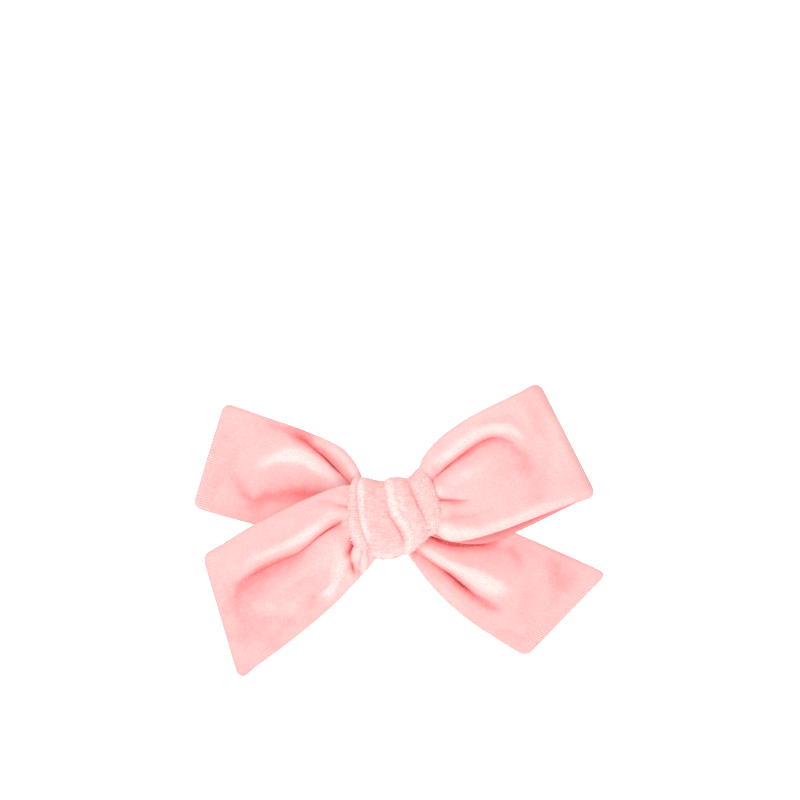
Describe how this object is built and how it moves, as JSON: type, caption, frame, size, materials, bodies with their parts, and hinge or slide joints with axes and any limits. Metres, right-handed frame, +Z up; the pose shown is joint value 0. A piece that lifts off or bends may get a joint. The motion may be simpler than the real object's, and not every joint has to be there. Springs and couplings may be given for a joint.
{
  "type": "barrette",
  "caption": "Velvet pinwheel bow with two loops and two tails on a sprung steel hair clip whose arm swings open when its catch is squeezed.",
  "frame": {"origin": "centre of the gap that holds the hair, behind the knot", "axes": "+X along the clip towards the catch, +Z up, +Y towards the head, so the bow's front faces -Y"},
  "size_m": [0.1139, 0.0278, 0.081],
  "materials": {
    "velvet": "pink velvet, short pile",
    "clip_steel": "nickel-plated sheet",
    "spring_steel": "tempered spring strip",
    "pin_steel": "bright drawn wire",
    "ribbon": "ribbed grosgrain",
    "glue": "hot-melt glue",
    "thread": "sewing thread"
  },
  "bodies": {
    "bow_and_plate": {"top_plate": "clip_steel", "hinge_pin": "pin_steel", "leaf_spring": "spring_steel", "catch_saddle": "clip_steel", "catch_rivet": "pin_steel", "lining_ribbon": "ribbon", "glue_pad": "glue", "knot_wrap": "velvet", "wrap_closing_stitches": "thread", "gathered_waist": "velvet", "gather_thread": "thread", "upper_right_loop": "velvet", "lower_left_loop": "velvet", "upper_left_tail": "velvet", "lower_right_tail": "velvet"},
    "clasp_arm": {"clasp_arm": "clip_steel"},
    "catch_tab_upper": {"catch_tab_upper": "clip_steel"},
    "catch_tab_lower": {"catch_tab_lower": "clip_steel"}
  },
  "joints": [
    {"name": "arm_hinge", "type": "hinge", "parent": "bow_and_plate", "child": "clasp_arm", "pos_m": [-0.0235, 0.00494, 0], "axis": [0, 0, 1], "range_deg": [0, 75]},
    {"name": "upper_tab_squeeze", "type": "hinge", "parent": "bow_and_plate", "child": "catch_tab_upper", "pos_m": [0.0225, -0.0013, 0.002], "axis": [-1, 0, 0], "range_deg": [0, 7], "stiffness_Nm_per_rad": 0.05},
    {"name": "lower_tab_squeeze", "type": "hinge", "parent": "bow_and_plate", "child": "catch_tab_lower", "pos_m": [0.0225, -0.0013, -0.002], "axis": [1, 0, 0], "range_deg": [0, 7], "stiffness_Nm_per_rad": 0.05}
  ],
  "couplings": [
    {"joint": "lower_tab_squeeze", "follows": "upper_tab_squeeze", "ratio": 1}
  ]
}
